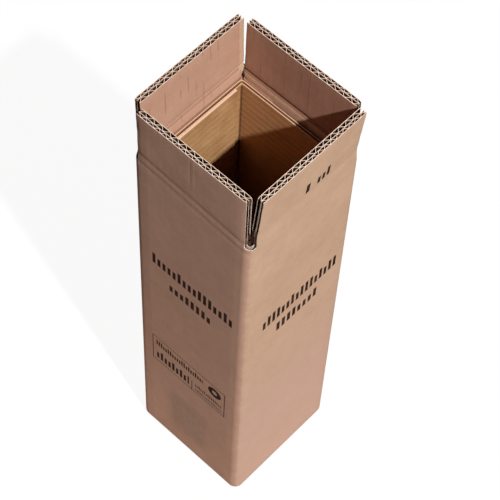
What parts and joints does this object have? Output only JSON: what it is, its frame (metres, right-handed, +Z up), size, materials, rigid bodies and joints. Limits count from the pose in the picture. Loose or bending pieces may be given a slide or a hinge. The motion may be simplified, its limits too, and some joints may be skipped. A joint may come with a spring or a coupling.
{
  "type": "bottle shipping box",
  "caption": "Tall square box of double-wall corrugated board with hinged top flaps and a sleeve inside that holds a bottle.",
  "frame": {"origin": "middle of the box's underside", "axes": "+Z up through the mouth of the box, +X to the side with the small mark on its flap, -Y to the side with the frame mark"},
  "size_m": [0.1255, 0.12, 0.4916],
  "materials": {
    "kraft_board": "matte kraft paper",
    "sleeve_board": "matte kraft paper, yellower"
  },
  "bodies": {
    "box": {"outer_box": "kraft_board", "bottle_sleeve": "sleeve_board"},
    "front_flap": {"flap_front": "kraft_board"},
    "right_flap": {"flap_right": "kraft_board"},
    "back_flap": {"flap_back": "kraft_board"},
    "left_flap": {"flap_left": "kraft_board"}
  },
  "joints": [
    {"name": "front_crease", "type": "hinge", "parent": "box", "child": "front_flap", "pos_m": [0, -0.0584, 0.4315], "axis": [-1, 0, 0], "range_deg": [-135, 90]},
    {"name": "right_crease", "type": "hinge", "parent": "box", "child": "right_flap", "pos_m": [0.0584, 0, 0.4384], "axis": [0, -1, 0], "range_deg": [-131, 94]},
    {"name": "back_crease", "type": "hinge", "parent": "box", "child": "back_flap", "pos_m": [0, 0.0584, 0.4315], "axis": [1, 0, 0], "range_deg": [-135, 90]},
    {"name": "left_crease", "type": "hinge", "parent": "box", "child": "left_flap", "pos_m": [-0.0584, 0, 0.4384], "axis": [0, 1, 0], "range_deg": [-133, 92]}
  ]
}
